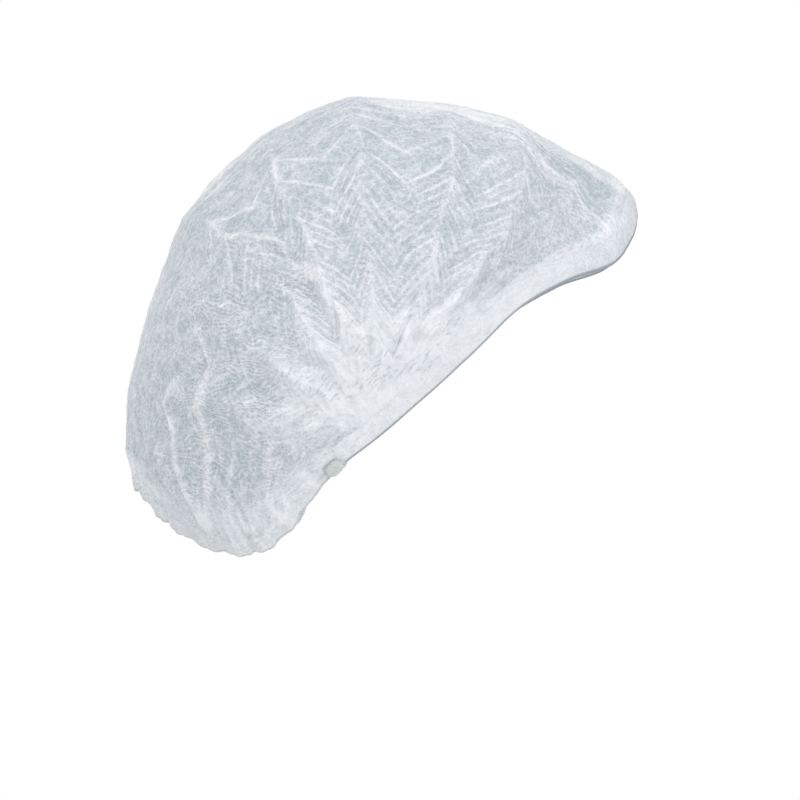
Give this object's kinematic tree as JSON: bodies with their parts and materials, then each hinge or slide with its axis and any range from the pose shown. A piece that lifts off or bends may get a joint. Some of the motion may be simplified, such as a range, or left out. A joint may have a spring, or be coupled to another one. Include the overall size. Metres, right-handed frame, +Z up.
{
  "type": "bouffant cap",
  "caption": "Disposable pleated bouffant cap of white non-woven cloth, puffed out over a folded elasticated edge, open underneath for the head.",
  "frame": {"origin": "middle of the head opening's rim line, from the edge's foremost point on the forehead to its rearmost point behind the neck", "axes": "+Z up, +X towards the face, +Y to the wearer's left"},
  "size_m": [0.2583, 0.2372, 0.2308],
  "materials": {
    "nonwoven": "white spunbond polypropylene, translucent, matt with a faint sheen",
    "folded_nonwoven": "the same cloth folded over, whiter and less translucent",
    "rubber_thread": "white covered rubber, matt",
    "welded_nonwoven": "non-woven pressed and welded through, greyer and smoother"
  },
  "bodies": {
    "root": {"crown": "nonwoven", "front_hem": "folded_nonwoven", "back_hem": "folded_nonwoven", "elastic": "rubber_thread", "left_tab": "welded_nonwoven", "right_tab": "welded_nonwoven"}
  },
  "joints": []
}
